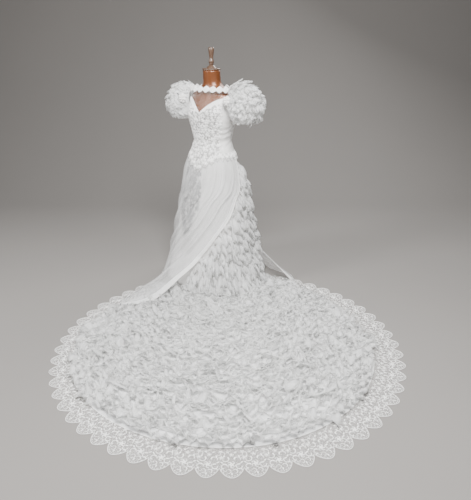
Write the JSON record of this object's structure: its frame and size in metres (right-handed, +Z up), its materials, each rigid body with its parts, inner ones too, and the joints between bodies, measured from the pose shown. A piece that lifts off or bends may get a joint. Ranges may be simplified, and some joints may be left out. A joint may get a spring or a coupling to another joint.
{
  "type": "wedding dress on a dress form",
  "caption": "Floor-length wedding dress with puffed sleeves, net yoke, open organza overskirt and a round ruffled, lace-edged train, on a limbless dress form.",
  "frame": {"origin": "the floor, at the middle of the rectangle that the dress and its train cover", "axes": "+Z up; the train is swept round to the front and its far end points to -Y, so Y is the long way; the form stands at +Y and faces between -X and -Y"},
  "size_m": [1.9064, 2.3514, 1.55],
  "materials": {
    "white_satin": "satin",
    "organza": "sheer, soft sheen",
    "lace": "matt, corded",
    "net": "fine sheer net",
    "copper_cloth": "satin",
    "turned_wood": "varnished",
    "dark_steel": "dark, satin"
  },
  "bodies": {
    "root": {"basque_lace": "lace", "bodice_back": "white_satin", "bodice_front": "white_satin", "bodice_side_left": "white_satin", "bodice_side_right": "white_satin", "cascade_ruffle_1": "organza", "cascade_ruffle_2": "organza", "cascade_ruffle_3": "organza", "cascade_ruffle_4": "organza", "cascade_ruffle_5": "organza", "cascade_ruffle_6": "organza", "cascade_ruffle_7": "organza", "cascade_ruffle_8": "organza", "cascade_ruffle_9": "organza", "collar_lace": "lace", "form_base": "dark_steel", "form_finial": "turned_wood", "form_neck_cap": "turned_wood", "form_pole": "dark_steel", "form_torso": "copper_cloth", "overskirt": "organza", "overskirt_binding_back": "white_satin", "overskirt_binding_front": "white_satin", "rosette_left": "white_satin", "rosette_right": "white_satin", "skirt": "white_satin", "sleeve_left": "organza", "sleeve_left_ruffle_1": "organza", "sleeve_left_ruffle_2": "organza", "sleeve_left_ruffle_3": "organza", "sleeve_right": "organza", "sleeve_right_ruffle_1": "organza", "sleeve_right_ruffle_2": "organza", "sleeve_right_ruffle_3": "organza", "train_front_left": "organza", "train_front_right": "organza", "train_lace_front_left": "lace", "train_lace_front_right": "lace", "train_lace_left": "lace", "train_lace_right": "lace", "train_left": "organza", "train_right": "organza", "train_ruffle_1": "organza", "train_ruffle_2": "organza", "train_ruffle_3": "organza", "train_ruffle_4": "organza", "train_ruffle_5": "organza", "train_ruffle_6": "organza", "train_ruffle_7": "organza", "train_ruffle_8": "organza", "yoke_back": "net", "yoke_front": "net"}
  },
  "joints": []
}
